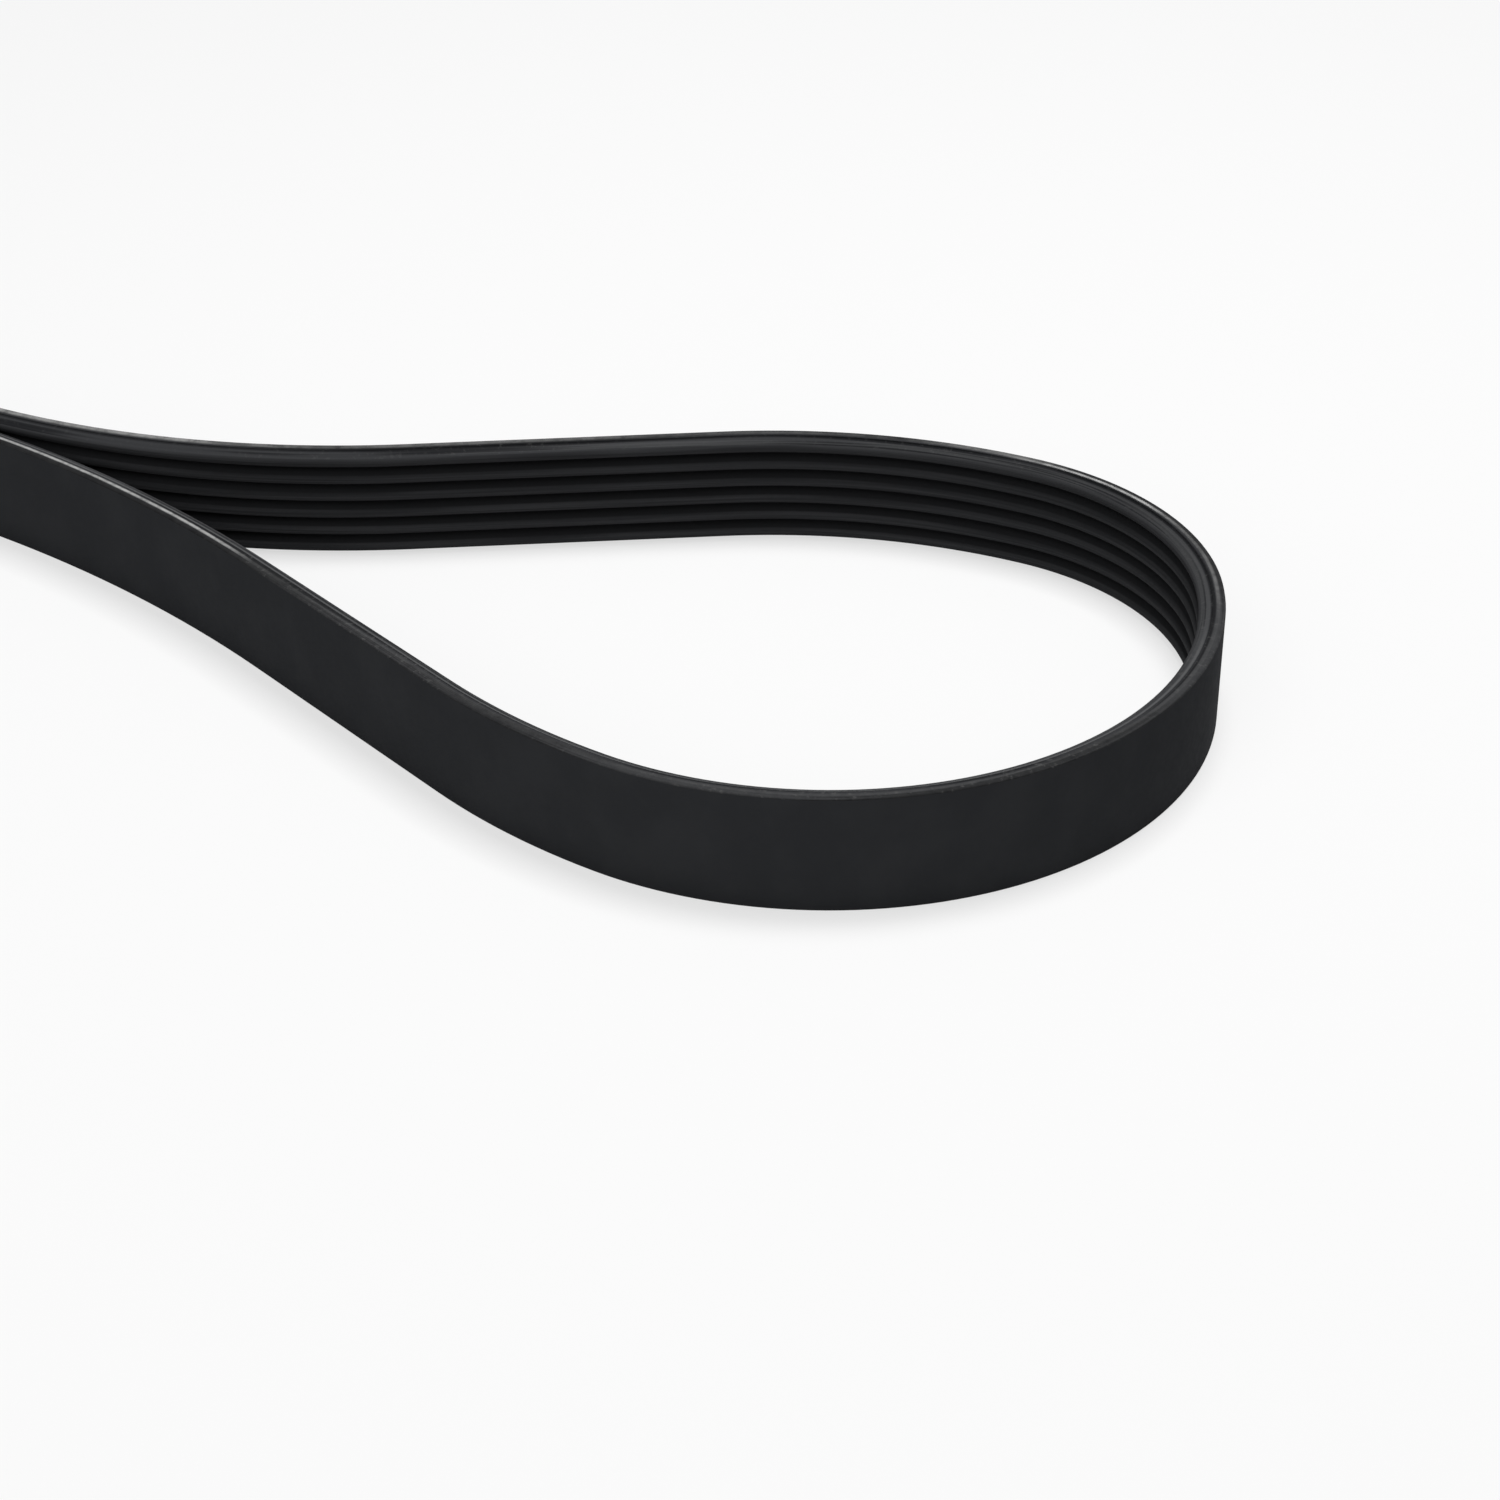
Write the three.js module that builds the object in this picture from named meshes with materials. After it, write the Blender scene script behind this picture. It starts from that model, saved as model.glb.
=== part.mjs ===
import * as THREE from 'three';
import { toCreasedNormals } from 'three/addons/utils/BufferGeometryUtils.js';

// Serpentine belt: one endless band of rubber with six lengthwise ribs, standing on its cut edge
// with the ribs inside. Seen from above it is pinched at a waist, with a round lobe at each end.
// Millimetres, +Z up. The origin is the middle of the waist, on the surface that the belt stands
// on, and +X runs along the strands at the waist.

// Section of the band
const ribCount = 6;
const ribPitch = 3.56;
const ribAngle = 40;
const ribHeight = 2.4;
const backThickness = 2.2;
const grooveRootWidth = 0.4;
const ribTipRadius = 0.5;
const backCornerRadius = 0.35;

// Route of the outer face through one lobe, in the order in which a hand would follow it
const backWaistRadius = 145;
const backWaistAngle = 36;
const backStrandLength = 60;
const shoulderRadius = 108;
const shoulderAngle = 32;
const noseRadius = 54;
const noseAngle = 63;
const bellyRadius = 70;
const heelRadius = 130;
const heelAngle = 16;
const frontStrandLength = 55;
const frontWaistRadius = 295;
const waistGap = 1.2;

// Fineness of the facets
const chordError = 0.15;
const cornerSteps = 2;
const creaseAngle = 15;

// Colour and finish
const rubberColour = '#2a2c2f';
const rubberRoughness = 0.8;

// Sizes that follow from those above
const bandWidth = ribCount * ribPitch;
const bandThickness = backThickness + ribHeight;
const strandSpacing = 2 * bandThickness + waistGap;
const flankRun = ribHeight * Math.tan(THREE.MathUtils.degToRad(ribAngle / 2));
const rootHalf = grooveRootWidth / 2;

// Rounds the corner at `corner` on the way from `before` to `after` with an arc-like curve that
// starts and ends where a fillet of the given radius would touch the two sides.
function roundCorner(shape, before, corner, after, radius) {
  const back = before.clone().sub(corner).normalize();
  const ahead = after.clone().sub(corner).normalize();
  const halfAngle = Math.acos(THREE.MathUtils.clamp(back.dot(ahead), -1, 1)) / 2;
  const setback = radius / Math.tan(halfAngle);
  const start = corner.clone().addScaledVector(back, setback);
  const end = corner.clone().addScaledVector(ahead, setback);
  shape.lineTo(start.x, start.y);
  shape.quadraticCurveTo(corner.x, corner.y, end.x, end.y);
}

// The section lies in a plane whose x is the depth inward from the smooth back and whose y is the
// height above the lower cut edge. Each cut edge runs through the middle of a groove.
function bandSection() {
  const corner = (depth, height) => new THREE.Vector2(depth, height);
  const shape = new THREE.Shape();
  shape.moveTo(backThickness, 0);
  for (let rib = 0; rib < ribCount; rib += 1) {
    const low = rib * ribPitch;
    const high = low + ribPitch;
    const lowRoot = corner(backThickness, low + rootHalf);
    const lowTip = corner(bandThickness, low + rootHalf + flankRun);
    const highTip = corner(bandThickness, high - rootHalf - flankRun);
    const highRoot = corner(backThickness, high - rootHalf);
    shape.lineTo(lowRoot.x, lowRoot.y);
    roundCorner(shape, lowRoot, lowTip, highTip, ribTipRadius);
    roundCorner(shape, lowTip, highTip, highRoot, ribTipRadius);
    shape.lineTo(highRoot.x, highRoot.y);
  }
  shape.lineTo(backThickness, bandWidth);
  const topInside = corner(backThickness, bandWidth);
  const topBack = corner(0, bandWidth);
  const bottomBack = corner(0, 0);
  const bottomInside = corner(backThickness, 0);
  roundCorner(shape, topInside, topBack, bottomBack, backCornerRadius);
  roundCorner(shape, topBack, bottomBack, bottomInside, backCornerRadius);
  shape.closePath();
  const points = shape.getPoints(cornerSteps);
  points.pop();
  return points;
}

// A stretch of the route. Its turn is positive to the left, seen from above, and zero where the
// strand runs straight.
function bend(radius, angle) {
  const turn = THREE.MathUtils.degToRad(angle);
  return { length: radius * Math.abs(turn), turn };
}

function straight(length) {
  return { length, turn: 0 };
}

// One lobe: out from the waist along the back strand, round the nose and belly, and home along the
// front strand. The belly turns by what the other bends leave of half a turn.
function lobeRoute(frontWaistAngle) {
  const reverseBends = backWaistAngle + frontWaistAngle;
  const bellyAngle = 180 + reverseBends - shoulderAngle - noseAngle - heelAngle;
  return [
    bend(backWaistRadius, backWaistAngle),
    straight(backStrandLength),
    bend(shoulderRadius, -shoulderAngle),
    bend(noseRadius, -noseAngle),
    bend(bellyRadius, -bellyAngle),
    bend(heelRadius, -heelAngle),
    straight(frontStrandLength),
    bend(frontWaistRadius, frontWaistAngle),
  ];
}

// Steps that keep a bend's chords within the chord error of its arc.
function stepCount(stretch) {
  if (stretch.turn === 0) return 1;
  const radius = stretch.length / Math.abs(stretch.turn);
  const widestStep = 2 * Math.acos(1 - chordError / radius);
  return Math.ceil(Math.abs(stretch.turn) / widestStep);
}

// Walks a route and gives the place and heading at every step, with the first one at the start.
function walk(route) {
  const stations = [{ x: 0, y: 0, heading: 0 }];
  for (const stretch of route) {
    const steps = stepCount(stretch);
    const turn = stretch.turn / steps;
    const chordShare = turn === 0 ? 1 : Math.sin(turn / 2) / (turn / 2);
    const chord = (stretch.length / steps) * chordShare;
    for (let step = 0; step < steps; step += 1) {
      const { x, y, heading } = stations.at(-1);
      const direction = heading + turn / 2;
      stations.push({
        x: x + chord * Math.cos(direction),
        y: y + chord * Math.sin(direction),
        heading: heading + turn,
      });
    }
  }
  return stations;
}

// The front waist bend turns just far enough to bring the two strands to their spacing: the
// further it turns, the closer the front strand comes home.
function closedLobe() {
  let low = 0;
  let high = 90;
  while (high - low > 1e-9) {
    const middle = (low + high) / 2;
    const end = walk(lobeRoute(middle)).at(-1);
    if (-end.y > strandSpacing) low = middle;
    else high = middle;
  }
  return walk(lobeRoute(high));
}

// The whole loop is the lobe and the same lobe turned half round about the middle of the waist.
function loopStations() {
  const lobe = closedLobe();
  const end = lobe.at(-1);
  const nearLobe = lobe.slice(0, -1).map(({ x, y, heading }) => ({
    x: x - end.x / 2,
    y: y - end.y / 2,
    heading,
  }));
  const farLobe = nearLobe.map(({ x, y, heading }) => ({
    x: -x,
    y: -y,
    heading: heading + Math.PI,
  }));
  return [...nearLobe, ...farLobe];
}

// Carries the section round the loop, square to the route, as one closed skin.
function sweepRoundLoop(section, stations) {
  const positions = stations.flatMap(({ x, y, heading }) => {
    const inwardX = Math.sin(heading);
    const inwardY = -Math.cos(heading);
    return section.flatMap((point) => [x + point.x * inwardX, y + point.x * inwardY, point.y]);
  });
  const indices = [];
  stations.forEach((station, ring) => {
    const nextRing = (ring + 1) % stations.length;
    section.forEach((point, side) => {
      const nextSide = (side + 1) % section.length;
      const here = ring * section.length + side;
      const beside = ring * section.length + nextSide;
      const ahead = nextRing * section.length + side;
      const aheadBeside = nextRing * section.length + nextSide;
      indices.push(here, ahead, aheadBeside, here, aheadBeside, beside);
    });
  });
  const geometry = new THREE.BufferGeometry();
  geometry.setAttribute('position', new THREE.Float32BufferAttribute(positions, 3));
  geometry.setIndex(indices);
  return toCreasedNormals(geometry, THREE.MathUtils.degToRad(creaseAngle));
}

const rubber = new THREE.MeshStandardMaterial({
  color: rubberColour,
  roughness: rubberRoughness,
  metalness: 0,
});

const belt = new THREE.Mesh(sweepRoundLoop(bandSection(), loopStations()), rubber);
belt.name = 'ribbed_belt';

const object = new THREE.Group();
object.name = 'serpentine_belt';
object.add(belt);

export default object;
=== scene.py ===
import math

import bpy
import numpy as np
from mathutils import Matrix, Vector


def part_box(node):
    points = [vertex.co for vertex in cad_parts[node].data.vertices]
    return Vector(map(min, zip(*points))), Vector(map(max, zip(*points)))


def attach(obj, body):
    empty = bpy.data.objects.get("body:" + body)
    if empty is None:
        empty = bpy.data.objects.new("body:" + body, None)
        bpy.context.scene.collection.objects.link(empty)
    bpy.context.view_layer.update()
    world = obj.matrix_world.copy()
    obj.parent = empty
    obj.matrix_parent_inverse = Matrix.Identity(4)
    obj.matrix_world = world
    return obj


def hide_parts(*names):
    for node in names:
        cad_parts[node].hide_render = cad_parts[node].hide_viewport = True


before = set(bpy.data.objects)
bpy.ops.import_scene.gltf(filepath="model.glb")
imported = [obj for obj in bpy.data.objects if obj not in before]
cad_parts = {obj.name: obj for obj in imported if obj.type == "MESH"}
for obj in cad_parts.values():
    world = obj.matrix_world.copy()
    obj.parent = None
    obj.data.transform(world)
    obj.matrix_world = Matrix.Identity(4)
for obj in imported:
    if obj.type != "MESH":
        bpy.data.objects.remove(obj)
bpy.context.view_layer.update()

MM = 0.001
BAND_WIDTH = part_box("ribbed_belt")[1][2]

# Section of the band
RIB_COUNT = 6
RIB_PITCH = BAND_WIDTH / RIB_COUNT
RIB_ANGLE = math.radians(40)
RIB_HEIGHT = 2.4 * MM
BACK_THICKNESS = 2.2 * MM
GROOVE_ROOT_WIDTH = 0.4 * MM
RIB_TIP_RADIUS = 0.95 * MM
GROOVE_ROOT_RADIUS = 0.25 * MM
BACK_CORNER_RADIUS = 0.35 * MM
CUT_CORNER_RADIUS = 0.08 * MM
BAND_THICKNESS = BACK_THICKNESS + RIB_HEIGHT
ROOT_HALF = GROOVE_ROOT_WIDTH / 2
FLANK_RUN = RIB_HEIGHT * math.tan(RIB_ANGLE / 2)

# Route of the outer face through one lobe, radii and lengths in metres and angles in degrees
BACK_WAIST_RADIUS = 145 * MM
BACK_WAIST_ANGLE = 36
BACK_STRAND_LENGTH = 60 * MM
SHOULDER_RADIUS = 108 * MM
SHOULDER_ANGLE = 32
NOSE_RADIUS = 54 * MM
NOSE_ANGLE = 63
BELLY_RADIUS = 70 * MM
HEEL_RADIUS = 130 * MM
HEEL_ANGLE = 16
FRONT_STRAND_LENGTH = 55 * MM
FRONT_WAIST_RADIUS = 295 * MM
WAIST_GAP = 1.2 * MM
STRAND_SPACING = 2 * BAND_THICKNESS + WAIST_GAP

# Fineness of the swept band and of its rounded corners
CHORD_ERROR = 0.01 * MM
LONGEST_STEP = 6 * MM
WAIST_ANGLE_ERROR = 1e-10
CLOSE = 0.02 * MM
MERGE_DISTANCE = CLOSE / 4
ROUND_STEPS = 4
SMALL_ROUND_STEPS = 2
SHARP_EDGE = math.radians(30)

# Places of the three rubbers in the band's list of materials, and where two of them end
RIB_FINISH, BACK_FINISH, CUT_FINISH = range(3)
BACK_FACE_DEPTH = 0.02 * MM
CUT_MARGIN = 1.05 * MM

# Colours of the rubbers, with painted shade in the grooves and painted highlights on the cut edges
BACK_BLACK = (0.0282, 0.0294, 0.0320, 1)
BACK_BLACK_PALE = (0.0318, 0.0330, 0.0356, 1)
RIB_BLACK = (0.0235, 0.0241, 0.0258, 1)
RIB_BLACK_PALE = (0.0370, 0.0378, 0.0400, 1)
# Painted shade: the ribs' colour on the flanks and deep in the grooves
GROOVE_SHADE_BLACK = (0.0190, 0.0195, 0.0208, 1)
CUT_BLACK = (0.0110, 0.0114, 0.0124, 1)
CUT_GREY = (0.0300, 0.0307, 0.0328, 1)
FLANK_BLACK = (0.0120, 0.0125, 0.0138, 1)
FLANK_GREY = (0.0340, 0.0349, 0.0372, 1)
LINE_BLACK = (0.0060, 0.0063, 0.0072, 1)
# A paler flank, and a painted highlight line on it
PALE_FLANK_AND_HIGHLIGHT_GREY = (0.0850, 0.0862, 0.0885, 1)
SPECK_GREY = (0.0950, 0.0950, 0.0940, 1)
# Painted highlight on the cut edges, and pale dust with a painted reflection on their rims
DUST_AND_HIGHLIGHT_GREY = (0.3400, 0.3400, 0.3365, 1)

# Gloss and roughness of the rubbers, and the depth and strength of the relief in them
RUBBER_GLOSS = 0.014
BACK_ROUGHNESS = (0.74, 0.84)
RIB_ROUGHNESS = (0.6, 0.74)
CUT_ROUGHNESS = (0.5, 0.64)
BACK_PORE_DEPTH = 0.02 * MM
RIB_STREAK_DEPTH = 0.03 * MM
RIB_PORE_DEPTH = 0.03 * MM
CUT_STREAK_DEPTH = 0.05 * MM
CUT_PORE_DEPTH = 0.04 * MM
SOFT_RELIEF = 0.5
CUT_RELIEF = 0.6

# Noise in the rubbers, in features to the metre, and for streaks along the band and across it
BACK_MOTTLE = 90.0
BACK_GRAIN = 900.0
BACK_PORES = 2600.0
RIB_STREAKS = (30.0, 3800.0)
RIB_PORES = 2200.0
WORKED_GRAIN = 1500.0
BROAD_STREAKS = (17.0, 1250.0)
FINE_STREAKS = (35.0, 3600.0)
GREYED_STREAKS = (25.0, 3400.0)
STEP_PATCHES = 11.0
SPECKS = 950.0
SPECK_PATCHES = 12.0
# Patches of the pale rim and of the painted highlight line, and the highlight line's drift
DUST_AND_HIGHLIGHT_PATCHES = 420.0
HIGHLIGHT_DRIFT = 14.0
CUT_PORES = 3000.0

# Parts of the noise's range that are carried over the whole of a tone, a roughness or a share
GRAIN_SPREAD = (0.3, 0.7)
MOTTLE_SPREAD = (0.35, 0.65)
BROAD_SPREAD = (0.38, 0.62)
BOTH_STREAKS_SPREAD = (0.45, 1.45)
STEP_SPREAD = (0.4, 0.6)
GREYED_SPREAD = (0.4, 0.6)
SPECK_SPREAD = (0.55, 0.7)
SPECK_PATCH_SPREAD = (0.45, 0.6)
DUST_AND_HIGHLIGHT_PATCH_SPREAD = (0.3, 0.6)

# Share of a mark that is laid on at the low and the high end of its noise's spread
STEP_SHARE = (0.5, 0.1)
GREYED_SHARE = (0.05, 1.0)
SPECK_SHARE = (0.1, 0.4)
DUST_AND_HIGHLIGHT_PATCH_SHARE = (0.45, 1.0)

# Share of a soft line's half width over which it keeps its full strength
LINE_CORE = 0.35

# Depths below the smooth back of the lines on a cut edge, painted highlights among them, and of
# the changes of rubber and the painted shade in the grooves
RIM_LINE = 0.40 * MM
RIM_LINE_HALF_WIDTH = 0.55 * MM
# Painted highlight line on the cut edge, and how far it drifts to either side
HIGHLIGHT_LINE = 1.35 * MM
HIGHLIGHT_LINE_HALF_WIDTH = 0.46 * MM
HIGHLIGHT_WANDER = 0.9 * MM
STEP_LINE = 2.3 * MM
STEP_LINE_HALF_WIDTH = 0.35 * MM
# Painted highlight line where the flank begins
FLANK_HIGHLIGHT_LINE = 2.8 * MM
FLANK_HIGHLIGHT_HALF_WIDTH = 0.4 * MM
# Pale outer rim, dust with a painted reflection, fading inward
DUST_AND_SHEEN_FADE = (1.0 * MM, 1.9 * MM)
FLANK_BLEND = (2.1 * MM, 2.6 * MM)
GREYED_FROM = (2.4 * MM, 2.9 * MM)
# Depths over which the painted shade of the grooves gives way to the ribs' colour
GROOVE_SHADE_BLEND = (4.0 * MM, 4.3 * MM)
RIB_BLEND = (4.2 * MM, 4.6 * MM)

# Stretches of each lobe where the cut edge is marked: where each begins and ends along the route,
# and how strong the mark is. The first kind has a painted highlight line beside a dark rim line,
# the second a pale outer rim that is dust with a painted reflection, the third a paler flank, and
# the fourth a painted highlight line where the flank begins.
MARKS = {
    "highlit": (
        (205 * MM, 285 * MM, 0.25),
        (205 * MM, 251 * MM, 1.0),
        (512 * MM, 640 * MM, 1.0),
    ),
    "dust_and_sheen": (
        (-10 * MM, 62 * MM, 0.65),
        (50 * MM, 80 * MM, 0.35),
        (70 * MM, 140 * MM, 0.28),
        (130 * MM, 190 * MM, 0.12),
        (185 * MM, 222 * MM, 0.35),
    ),
    "greyed": (
        (95 * MM, 640 * MM, 0.4),
    ),
    "flank_highlight": (
        (285 * MM, 640 * MM, 0.9),
    ),
}
MARK_FADE = 12 * MM
MARK_LEAST = 0.04

# Floor and room, with lengths in metres
FLOOR_SIZE = 8
FLOOR_WHITE = (0.6, 0.6, 0.6, 1)
FLOOR_SEEN = (0.26, 0.26, 0.26, 1)
FLOOR_GLOW = 0.652
FLOOR_FADE = (0.6, 1.6)
ROOM_WHITE = (1, 1, 1, 1)
BACKDROP_LEVEL = 0.95
ROOM_LEVEL = 0.15

# Softboxes, with lengths in metres and power in watts
LIGHT_AIM = (0.15, 0.0, 0.0)
KEY_PLACE = (0.2, 0.24, 1.1)
KEY_SIZE = 0.4
KEY_POWER = 11.5
FILL_PLACE = (0.28, -0.95, 0.9)
FILL_SIZE = 1.2
FILL_POWER = 7.0

# Camera, from the fit to the photograph, with lengths in metres and lens and sensor in millimetres
CAMERA_AIM = (0.1812, 0.0018, 0.0)
CAMERA_AZIMUTH = math.radians(-59.10)
CAMERA_ELEVATION = math.radians(31.89)
CAMERA_DISTANCE = 0.5641
CAMERA_NEAREST = 0.01
CAMERA_LENS = 78.4
CAMERA_SENSOR = 36


def bend(radius, degrees):
    """A curved stretch of the route: its length and its turn, positive to the left from above."""
    turn = math.radians(degrees)
    return radius * abs(turn), turn


def lobe_route(front_waist_angle):
    """The stretches of one lobe, from the waist out along the back strand and home again."""
    reverse_bends = BACK_WAIST_ANGLE + front_waist_angle
    belly_angle = 180 + reverse_bends - SHOULDER_ANGLE - NOSE_ANGLE - HEEL_ANGLE
    return [
        bend(BACK_WAIST_RADIUS, BACK_WAIST_ANGLE),
        (BACK_STRAND_LENGTH, 0),
        bend(SHOULDER_RADIUS, -SHOULDER_ANGLE),
        bend(NOSE_RADIUS, -NOSE_ANGLE),
        bend(BELLY_RADIUS, -belly_angle),
        bend(HEEL_RADIUS, -HEEL_ANGLE),
        (FRONT_STRAND_LENGTH, 0),
        bend(FRONT_WAIST_RADIUS, front_waist_angle),
    ]


def step_count(length, turn):
    """Steps that keep a bend's chords close to its arc, and a straight evenly divided."""
    by_length = math.ceil(length / LONGEST_STEP)
    if turn == 0:
        return by_length
    widest = 2 * math.acos(1 - CHORD_ERROR / (length / abs(turn)))
    return max(by_length, math.ceil(abs(turn) / widest))


def follow(stretch, start):
    """The station (x, y, heading) at the end of a stretch that begins at the start station."""
    length, turn = stretch
    x, y, heading = start
    if turn == 0:
        return x + length * math.cos(heading), y + length * math.sin(heading), heading
    chord = length * math.sin(turn / 2) / (turn / 2)
    direction = heading + turn / 2
    return x + chord * math.cos(direction), y + chord * math.sin(direction), heading + turn


def closed_route():
    """One lobe whose strands come home at their spacing, with its first station."""
    # The front waist's angle in degrees is halved in on until the strands are that far apart
    low, high = 0.0, 90.0
    while high - low > WAIST_ANGLE_ERROR:
        middle = (low + high) / 2
        end = (0.0, 0.0, 0.0)
        for stretch in lobe_route(middle):
            end = follow(stretch, end)
        if -end[1] > STRAND_SPACING:
            low = middle
        else:
            high = middle
    return lobe_route(high), (-end[0] / 2, -end[1] / 2, 0.0)


def select_vertices(obj, wanted):
    """Selects the vertices of the edited mesh whose place passes the test, and nothing else."""
    bpy.ops.mesh.select_mode(type="VERT")
    bpy.ops.mesh.select_all(action="DESELECT")
    bpy.ops.object.mode_set(mode="OBJECT")
    for vertex in obj.data.vertices:
        vertex.select = wanted(vertex.co)
    bpy.ops.object.mode_set(mode="EDIT")
    bpy.ops.mesh.select_mode(type="VERT")


def near(value, target):
    """Whether two places agree within the fineness of the mesh."""
    return abs(value - target) < CLOSE


def bevel_corners(obj, wanted, radius, half_angle, segments):
    """Rounds the chosen corners of the flat section to a radius, given half of their angle."""
    select_vertices(obj, wanted)
    bpy.ops.mesh.bevel(offset=radius / math.tan(half_angle), offset_type="OFFSET",
                       segments=segments, affect="VERTICES", clamp_overlap=True)


def cut_section(start):
    """The ribbed section as a closed outline, standing at the first station."""
    x, y, _ = start
    bpy.ops.object.select_all(action="DESELECT")
    bpy.ops.mesh.primitive_plane_add(
        size=1, rotation=(0, math.pi / 2, 0),
        location=(x, y - BACK_THICKNESS / 2, BAND_WIDTH / 2))
    band = bpy.context.object
    band.name = "moulded_band"
    band.scale = (BAND_WIDTH, BACK_THICKNESS, 1)
    bpy.ops.object.transform_apply(location=True, rotation=True, scale=True)
    bpy.ops.object.mode_set(mode="EDIT")

    # Each rib stands between two lines ruled across the back layer
    for rib in range(RIB_COUNT):
        low = rib * RIB_PITCH + ROOT_HALF
        high = (rib + 1) * RIB_PITCH - ROOT_HALF
        for height in (low, high):
            bpy.ops.mesh.select_all(action="SELECT")
            bpy.ops.mesh.bisect(plane_co=(x, y, height), plane_no=(0, 0, 1))
    root_y = y - BACK_THICKNESS
    tip_y = y - BAND_THICKNESS
    for rib in range(RIB_COUNT):
        low = rib * RIB_PITCH + ROOT_HALF
        high = (rib + 1) * RIB_PITCH - ROOT_HALF
        select_vertices(band, lambda co: near(co.y, root_y) and low - CLOSE < co.z < high + CLOSE)
        bpy.ops.mesh.extrude_region_move(TRANSFORM_OT_translate={"value": (0, -RIB_HEIGHT, 0)})
        narrowing = (high - low - 2 * FLANK_RUN) / (high - low)
        bpy.ops.transform.resize(value=(1, 1, narrowing),
                                 center_override=(x, tip_y, (low + high) / 2))
    bpy.ops.mesh.select_all(action="SELECT")
    bpy.ops.mesh.dissolve_faces()
    select_vertices(band, lambda co: near(co.y, y) and CLOSE < co.z < BAND_WIDTH - CLOSE)
    bpy.ops.mesh.dissolve_verts()

    # Corners are rounded while the section is flat. Rib tips and groove roots are equally blunt.
    square_half = math.pi / 4
    blunt_half = (math.pi / 2 + RIB_ANGLE / 2) / 2
    bevel_corners(band, lambda co: near(co.y, tip_y), RIB_TIP_RADIUS, blunt_half, ROUND_STEPS)
    bevel_corners(
        band, lambda co: near(co.y, root_y) and CLOSE < co.z < BAND_WIDTH - CLOSE,
        GROOVE_ROOT_RADIUS, blunt_half, SMALL_ROUND_STEPS)
    bevel_corners(band, lambda co: near(co.y, y), BACK_CORNER_RADIUS, square_half, ROUND_STEPS)
    bevel_corners(
        band,
        lambda co: near(co.y, root_y) and (near(co.z, 0) or near(co.z, BAND_WIDTH)),
        CUT_CORNER_RADIUS, square_half, SMALL_ROUND_STEPS)
    bpy.ops.mesh.select_all(action="SELECT")
    bpy.ops.mesh.delete(type="ONLY_FACE")
    return band


def lead_round(route, start, stations):
    """Draws the selected outline along every stretch of the route, noting each station passed."""
    station = start
    for length, turn in route:
        steps = step_count(length, turn)
        x, y, heading = station
        if turn == 0:
            move = Vector((math.cos(heading), math.sin(heading), 0)) * (length / steps)
            for _ in range(steps):
                bpy.ops.mesh.extrude_region_move(TRANSFORM_OT_translate={"value": move})
        else:
            radius = length / turn
            centre = (x - radius * math.sin(heading), y + radius * math.cos(heading), 0)
            bpy.ops.mesh.spin(steps=steps, angle=-turn, center=centre, axis=(0, 0, 1))
        for _ in range(steps):
            station = follow((length / steps, turn / steps), station)
            stations.append(station)
    return station


def marked_share(stretches, travel, lobe_length):
    """How strongly the cut edge is marked at a distance along the route, from 0 to 1."""
    share = MARK_LEAST
    for begin, end, most in stretches:
        for place in (travel % lobe_length, travel % lobe_length - lobe_length):
            inside = min(place - begin, end - place) / MARK_FADE
            share = max(share, most * min(1.0, inside))
    return share


def note_places(band, stations, lobe_length):
    """Writes each point's depth below the smooth back and how its cut edge is marked there."""
    count = len(band.data.vertices)
    points = np.empty(count * 3)
    band.data.vertices.foreach_get("co", points)
    points = points.reshape(count, 3)[:, :2]
    depth = np.full(count, np.inf)
    marks = {name: np.zeros(count) for name in MARKS}
    travel = 0.0
    last = stations[0]
    for station in stations:
        travel += math.dist(station[:2], last[:2])
        last = station
        reach = np.hypot(*(points - station[:2]).T)
        nearer = reach < depth
        depth[nearer] = reach[nearer]
        for name, stretches in MARKS.items():
            marks[name][nearer] = marked_share(stretches, travel, lobe_length)
    for name, values in {"depth": depth, **marks}.items():
        layer = band.data.attributes.new(name, "FLOAT", "POINT")
        layer.data.foreach_set("value", values)
    return depth


def dress_band(band, depth):
    """Gives the ribs, the smooth back and the two cut edges their own rubber."""
    for rubber in (ground_rib_rubber(), smooth_back_rubber(), cut_edge_rubber()):
        band.data.materials.append(rubber)
    for face in band.data.polygons:
        from_edge = min(face.center.z, BAND_WIDTH - face.center.z)
        if max(depth[index] for index in face.vertices) < BACK_FACE_DEPTH:
            face.material_index = BACK_FINISH
        elif from_edge < CUT_MARGIN:
            face.material_index = CUT_FINISH
        else:
            face.material_index = RIB_FINISH


def make_band():
    """The whole belt: the outline led round one lobe and then round the other."""
    route, start = closed_route()
    lobe_length = sum(length for length, _ in route)
    band = cut_section(start)
    stations = [start]
    bpy.ops.mesh.select_all(action="SELECT")
    halfway = lead_round(route, start, stations)
    lead_round(route, halfway, stations)
    bpy.ops.mesh.select_all(action="SELECT")
    bpy.ops.mesh.remove_doubles(threshold=MERGE_DISTANCE)
    bpy.ops.mesh.normals_make_consistent(inside=False)
    bpy.ops.object.mode_set(mode="OBJECT")
    dress_band(band, note_places(band, stations, lobe_length))
    bpy.ops.object.shade_smooth_by_angle(angle=SHARP_EDGE)
    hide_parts("ribbed_belt")
    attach(band, "root")


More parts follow.
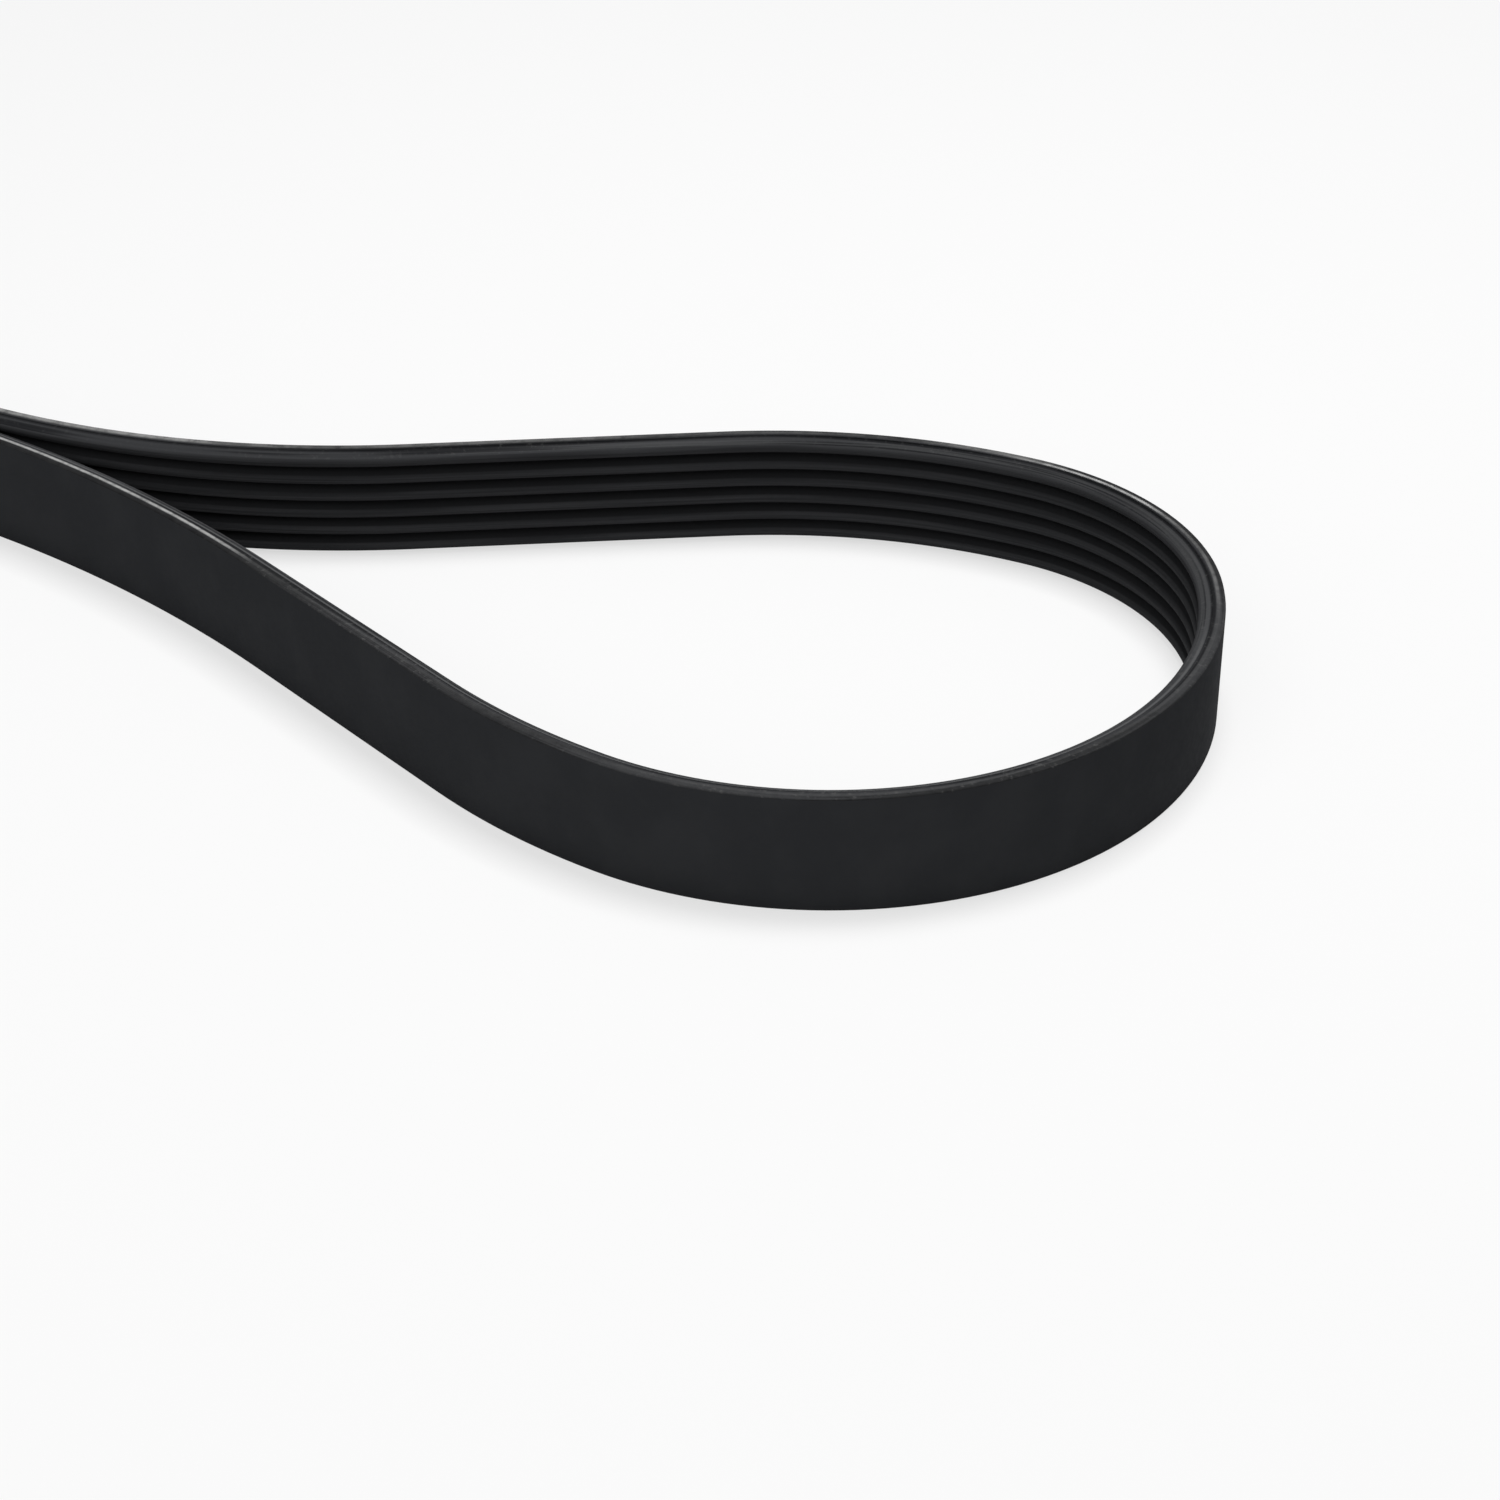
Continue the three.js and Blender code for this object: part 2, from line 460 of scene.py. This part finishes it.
class Recipe:
    """A rubber being mixed: its node tree, with short calls for what the rubbers share."""

    def __init__(self, name):
        self.material = bpy.data.materials.new(name)
        self.material.use_nodes = True
        self.nodes = self.material.node_tree.nodes
        self.links = self.material.node_tree.links
        self.shader = self.nodes["Principled BSDF"]

    def node(self, kind, **settings):
        """A new node with the given settings."""
        made = self.nodes.new(kind)
        for name, value in settings.items():
            setattr(made, name, value)
        return made

    def feed(self, source, socket):
        """Links an output into a socket, or sets the socket to a plain value."""
        if isinstance(source, bpy.types.NodeSocket):
            self.links.new(source, socket)
        else:
            socket.default_value = source

    def place(self):
        """Object coordinates, in metres."""
        return self.node("ShaderNodeTexCoord").outputs["Object"]

    def noted(self, name):
        """A value written on the band's points."""
        return self.node("ShaderNodeAttribute", attribute_name=name).outputs["Fac"]

    def sums(self, operation, *values):
        """One step of arithmetic on outputs and plain numbers."""
        made = self.node("ShaderNodeMath", operation=operation)
        for value, socket in zip(values, made.inputs):
            self.feed(value, socket)
        return made.outputs[0]

    def speckle(self, scale, detail=3.0, roughness=0.5, vector=None):
        """Even grain on Object coordinates, or on a vector that is given."""
        made = self.node("ShaderNodeTexNoise")
        self.feed(vector or self.place(), made.inputs["Vector"])
        self.feed(scale, made.inputs["Scale"])
        self.feed(detail, made.inputs["Detail"])
        self.feed(roughness, made.inputs["Roughness"])
        return made.outputs["Fac"]

    def streaks(self, along_scale, across_scale, detail=2.0):
        """Long marks that run round the band: slow in plan and quick across its section."""
        split = self.node("ShaderNodeSeparateXYZ")
        self.feed(self.place(), split.inputs[0])
        across = self.sums("ADD", self.noted("depth"), split.outputs["Z"])
        join = self.node("ShaderNodeCombineXYZ")
        self.feed(self.sums("MULTIPLY", split.outputs["X"], along_scale), join.inputs["X"])
        self.feed(self.sums("MULTIPLY", split.outputs["Y"], along_scale), join.inputs["Y"])
        self.feed(self.sums("MULTIPLY", across, across_scale), join.inputs["Z"])
        return self.speckle(1.0, detail=detail, vector=join.outputs[0])

    def fade(self, value, low, high, out_low=0.0, out_high=1.0):
        """Carries a value from one range to another, smoothly and without overshoot."""
        made = self.node("ShaderNodeMapRange", interpolation_type="SMOOTHSTEP")
        for given, name in zip((value, low, high, out_low, out_high),
                               ("Value", "From Min", "From Max", "To Min", "To Max")):
            self.feed(given, made.inputs[name])
        return made.outputs["Result"]

    def line(self, value, centre, half_width):
        """One soft line where the value passes the centre."""
        away = self.sums("ABSOLUTE", self.sums("SUBTRACT", value, centre))
        return self.fade(away, half_width * LINE_CORE, half_width, 1.0, 0.0)

    def blend(self, amount, first, second):
        """Mixes two colours, with the second alone where the amount is one."""
        made = self.node("ShaderNodeMix", data_type="RGBA")
        self.feed(amount, made.inputs[0])
        self.feed(first, made.inputs[6])
        self.feed(second, made.inputs[7])
        return made.outputs[2]

    def relief(self, height, distance, strength, under=None):
        """Bump of the given depth, on top of another bump where there is one."""
        made = self.node("ShaderNodeBump")
        self.feed(strength, made.inputs["Strength"])
        self.feed(distance, made.inputs["Distance"])
        self.feed(height, made.inputs["Height"])
        if under is not None:
            self.feed(under, made.inputs["Normal"])
        return made.outputs["Normal"]

    def finish(self, colour, roughness, normal):
        """Gives the rubber its surface and hands the material over."""
        self.feed(colour, self.shader.inputs["Base Color"])
        self.feed(roughness, self.shader.inputs["Roughness"])
        self.feed(normal, self.shader.inputs["Normal"])
        self.shader.inputs["Specular IOR Level"].default_value = RUBBER_GLOSS
        return self.material


def smooth_back_rubber():
    """The moulded back: an even matte black with a faint grain."""
    rubber = Recipe("smooth_back_rubber")
    mottle = rubber.fade(rubber.speckle(BACK_MOTTLE), *MOTTLE_SPREAD)
    colour = rubber.blend(mottle, BACK_BLACK, BACK_BLACK_PALE)
    roughness = rubber.fade(rubber.speckle(BACK_GRAIN), *GRAIN_SPREAD, *BACK_ROUGHNESS)
    pores = rubber.speckle(BACK_PORES, detail=4.0)
    normal = rubber.relief(pores, BACK_PORE_DEPTH, SOFT_RELIEF)
    return rubber.finish(colour, roughness, normal)


def rib_shade(rubber):
    """Colour of the ground ribs, with painted shade darkening the flanks and grooves and the
    ground tips paler, and the fine marks that run along them.
    """
    marks = rubber.streaks(*RIB_STREAKS)
    colour = rubber.blend(rubber.fade(marks, *GRAIN_SPREAD), RIB_BLACK, RIB_BLACK_PALE)
    # Painted shade on the flanks and in the grooves, with the ground tips a little paler
    groove = rubber.fade(rubber.noted("depth"), *GROOVE_SHADE_BLEND)
    return rubber.blend(groove, GROOVE_SHADE_BLACK, colour), marks


def ground_rib_rubber():
    """The ribs, from groove to tip."""
    rubber = Recipe("ground_rib_rubber")
    colour, marks = rib_shade(rubber)
    roughness = rubber.fade(rubber.speckle(WORKED_GRAIN), *GRAIN_SPREAD, *RIB_ROUGHNESS)
    normal = rubber.relief(marks, RIB_STREAK_DEPTH, SOFT_RELIEF)
    pores = rubber.speckle(RIB_PORES, detail=4.0)
    normal = rubber.relief(pores, RIB_PORE_DEPTH, SOFT_RELIEF, under=normal)
    return rubber.finish(colour, roughness, normal)


def cut_edge_rubber():
    """The knife-cut edges: long streaks, a painted highlight line between two dark ones, and a
    pale rim of dust with a painted reflection.
    """
    rubber = Recipe("cut_edge_rubber")
    depth = rubber.noted("depth")
    broad = rubber.fade(rubber.streaks(*BROAD_STREAKS, detail=1.0), *BROAD_SPREAD)
    fine = rubber.streaks(*FINE_STREAKS, detail=3.0)
    shade = rubber.fade(rubber.sums("ADD", broad, fine), *BOTH_STREAKS_SPREAD)
    cut = rubber.blend(shade, CUT_BLACK, CUT_GREY)
    flank = rubber.blend(shade, FLANK_BLACK, FLANK_GREY)
    colour = rubber.blend(rubber.fade(depth, *FLANK_BLEND), cut, flank)

    # A dark line at the step to the flank, then the flank's grey streaks and a painted highlight
    # line on it
    step = rubber.line(depth, STEP_LINE, STEP_LINE_HALF_WIDTH)
    step_share = rubber.fade(rubber.speckle(STEP_PATCHES), *STEP_SPREAD, *STEP_SHARE)
    colour = rubber.blend(rubber.sums("MULTIPLY", step, step_share), colour, LINE_BLACK)
    lines = rubber.fade(rubber.streaks(*GREYED_STREAKS), *GREYED_SPREAD, *GREYED_SHARE)
    greyed = rubber.sums("MULTIPLY", rubber.fade(depth, *GREYED_FROM), rubber.noted("greyed"))
    colour = rubber.blend(rubber.sums("MULTIPLY", greyed, lines), colour, PALE_FLANK_AND_HIGHLIGHT_GREY)
    # Painted highlight: a bright line where the flank begins
    bright = rubber.line(depth, FLANK_HIGHLIGHT_LINE, FLANK_HIGHLIGHT_HALF_WIDTH)
    bright = rubber.sums("MULTIPLY", bright, rubber.noted("flank_highlight"))
    colour = rubber.blend(bright, colour, PALE_FLANK_AND_HIGHLIGHT_GREY)

    # Pale specks that come in patches, and the ribs' own colour near the tip
    specks = rubber.fade(rubber.speckle(SPECKS, detail=5.0, roughness=0.6), *SPECK_SPREAD)
    speck_share = rubber.fade(rubber.speckle(SPECK_PATCHES), *SPECK_PATCH_SPREAD, *SPECK_SHARE)
    colour = rubber.blend(rubber.sums("MULTIPLY", specks, speck_share), colour, SPECK_GREY)
    colour = rubber.blend(rubber.fade(depth, *RIB_BLEND), colour, rib_shade(rubber)[0])

    # The dark rim line, the pale rim of dust with a painted reflection, and the painted highlight
    # line, which drifts to either side
    patches = rubber.speckle(DUST_AND_HIGHLIGHT_PATCHES, detail=6.0, roughness=0.65)
    patches = rubber.fade(patches, *DUST_AND_HIGHLIGHT_PATCH_SPREAD, *DUST_AND_HIGHLIGHT_PATCH_SHARE)
    highlit = rubber.noted("highlit")
    rim = rubber.sums("MULTIPLY", rubber.line(depth, RIM_LINE, RIM_LINE_HALF_WIDTH), highlit)
    colour = rubber.blend(rim, colour, LINE_BLACK)
    # Pale rim: dust with a painted reflection along the outer corner
    dust_and_sheen_share = rubber.fade(depth, *DUST_AND_SHEEN_FADE, 1.0, 0.0)
    dust_and_sheen_share = rubber.sums("MULTIPLY", dust_and_sheen_share, rubber.sums("MULTIPLY", patches, rubber.noted("dust_and_sheen")))
    colour = rubber.blend(dust_and_sheen_share, colour, DUST_AND_HIGHLIGHT_GREY)
    drift = rubber.sums("MULTIPLY_ADD", rubber.speckle(HIGHLIGHT_DRIFT), HIGHLIGHT_WANDER, depth)
    # Painted highlight line, strongest on the marked stretches
    highlight = rubber.line(drift, HIGHLIGHT_LINE + HIGHLIGHT_WANDER / 2, HIGHLIGHT_LINE_HALF_WIDTH)
    highlight = rubber.sums("MULTIPLY", highlight, rubber.sums("MULTIPLY", patches, highlit))
    colour = rubber.blend(highlight, colour, DUST_AND_HIGHLIGHT_GREY)

    roughness = rubber.fade(rubber.speckle(WORKED_GRAIN), *GRAIN_SPREAD, *CUT_ROUGHNESS)
    normal = rubber.relief(fine, CUT_STREAK_DEPTH, CUT_RELIEF)
    pores = rubber.speckle(CUT_PORES, detail=5.0)
    normal = rubber.relief(pores, CUT_PORE_DEPTH, CUT_RELIEF, under=normal)
    return rubber.finish(colour, roughness, normal)


def seen_as_backdrop(nodes, links):
    """One for rays from the camera or from a shiny or clear surface, and otherwise nothing."""
    ray = nodes.new("ShaderNodeLightPath")
    share = ray.outputs["Is Camera Ray"]
    for kind in ("Is Glossy Ray", "Is Transmission Ray"):
        either = nodes.new("ShaderNodeMath")
        either.operation = "MAXIMUM"
        links.new(share, either.inputs[0])
        links.new(ray.outputs[kind], either.inputs[1])
        share = either.outputs[0]
    return share


def make_floor():
    """A near-white floor that holds the belt's soft shadow and fades into the white room."""
    bpy.ops.object.select_all(action="DESELECT")
    bpy.ops.mesh.primitive_plane_add(size=FLOOR_SIZE, location=(0, 0, 0))
    floor = bpy.context.object
    floor.name = "pale_floor"
    paint = bpy.data.materials.new("pale_floor")
    paint.use_nodes = True
    nodes, links = paint.node_tree.nodes, paint.node_tree.links
    nodes.clear()

    # The matte lights the belt. The camera sees a greyer one with a glow instead, which fades
    # into the backdrop with distance.
    matte = nodes.new("ShaderNodeBsdfDiffuse")
    matte.inputs["Color"].default_value = FLOOR_WHITE
    seen = nodes.new("ShaderNodeBsdfDiffuse")
    seen.inputs["Color"].default_value = FLOOR_SEEN
    glow = nodes.new("ShaderNodeEmission")
    glow.inputs["Strength"].default_value = FLOOR_GLOW
    white = nodes.new("ShaderNodeAddShader")
    links.new(seen.outputs[0], white.inputs[0])
    links.new(glow.outputs[0], white.inputs[1])
    place = nodes.new("ShaderNodeTexCoord")
    reach = nodes.new("ShaderNodeVectorMath")
    reach.operation = "LENGTH"
    links.new(place.outputs["Object"], reach.inputs[0])
    far = nodes.new("ShaderNodeMapRange")
    far.interpolation_type = "SMOOTHSTEP"
    far.inputs["From Min"].default_value, far.inputs["From Max"].default_value = FLOOR_FADE
    links.new(reach.outputs["Value"], far.inputs["Value"])
    room = nodes.new("ShaderNodeEmission")
    room.inputs["Strength"].default_value = BACKDROP_LEVEL
    faded = nodes.new("ShaderNodeMixShader")
    links.new(far.outputs["Result"], faded.inputs[0])
    links.new(white.outputs[0], faded.inputs[1])
    links.new(room.outputs[0], faded.inputs[2])
    choice = nodes.new("ShaderNodeMixShader")
    links.new(seen_as_backdrop(nodes, links), choice.inputs[0])
    links.new(matte.outputs[0], choice.inputs[1])
    links.new(faded.outputs[0], choice.inputs[2])
    output = nodes.new("ShaderNodeOutputMaterial")
    links.new(choice.outputs[0], output.inputs["Surface"])
    floor.data.materials.append(paint)


def hang_softbox(name, place, size, power):
    """A square soft light, turned to face the belt."""
    turn = (Vector(LIGHT_AIM) - Vector(place)).to_track_quat("-Z", "Y").to_euler()
    bpy.ops.object.light_add(type="AREA", location=place, rotation=turn)
    softbox = bpy.context.object
    softbox.name = name
    softbox.data.size = size
    softbox.data.energy = power


def light_the_room():
    """A white room with a key softbox above and behind the belt and a wide one before it."""
    world = bpy.data.worlds.new("soft_room")
    bpy.context.scene.world = world
    world.use_nodes = True
    nodes, links = world.node_tree.nodes, world.node_tree.links
    room = nodes["Background"]
    room.inputs["Color"].default_value = ROOM_WHITE
    room.inputs["Strength"].default_value = ROOM_LEVEL
    backdrop = nodes.new("ShaderNodeBackground")
    backdrop.inputs["Color"].default_value = ROOM_WHITE
    backdrop.inputs["Strength"].default_value = BACKDROP_LEVEL
    choice = nodes.new("ShaderNodeMixShader")
    links.new(seen_as_backdrop(nodes, links), choice.inputs[0])
    links.new(room.outputs[0], choice.inputs[1])
    links.new(backdrop.outputs[0], choice.inputs[2])
    links.new(choice.outputs[0], nodes["World Output"].inputs["Surface"])

    hang_softbox("key_softbox", KEY_PLACE, KEY_SIZE, KEY_POWER)
    hang_softbox("fill_softbox", FILL_PLACE, FILL_SIZE, FILL_POWER)


def make_camera():
    """A camera at the photograph's distance and viewing angle."""
    aim = Vector(CAMERA_AIM)
    reach = CAMERA_DISTANCE * math.cos(CAMERA_ELEVATION)
    offset = Vector((
        reach * math.cos(CAMERA_AZIMUTH),
        reach * math.sin(CAMERA_AZIMUTH),
        CAMERA_DISTANCE * math.sin(CAMERA_ELEVATION),
    ))
    data = bpy.data.cameras.new("camera")
    data.lens = CAMERA_LENS
    data.sensor_width = CAMERA_SENSOR
    data.clip_start = CAMERA_NEAREST
    camera = bpy.data.objects.new("camera", data)
    camera.location = aim + offset
    camera.rotation_euler = (-offset).to_track_quat("-Z", "Y").to_euler()
    bpy.context.scene.collection.objects.link(camera)
    bpy.context.scene.camera = camera


make_band()
make_floor()
make_camera()
light_the_room()
bpy.context.scene.view_settings.view_transform = "Standard"
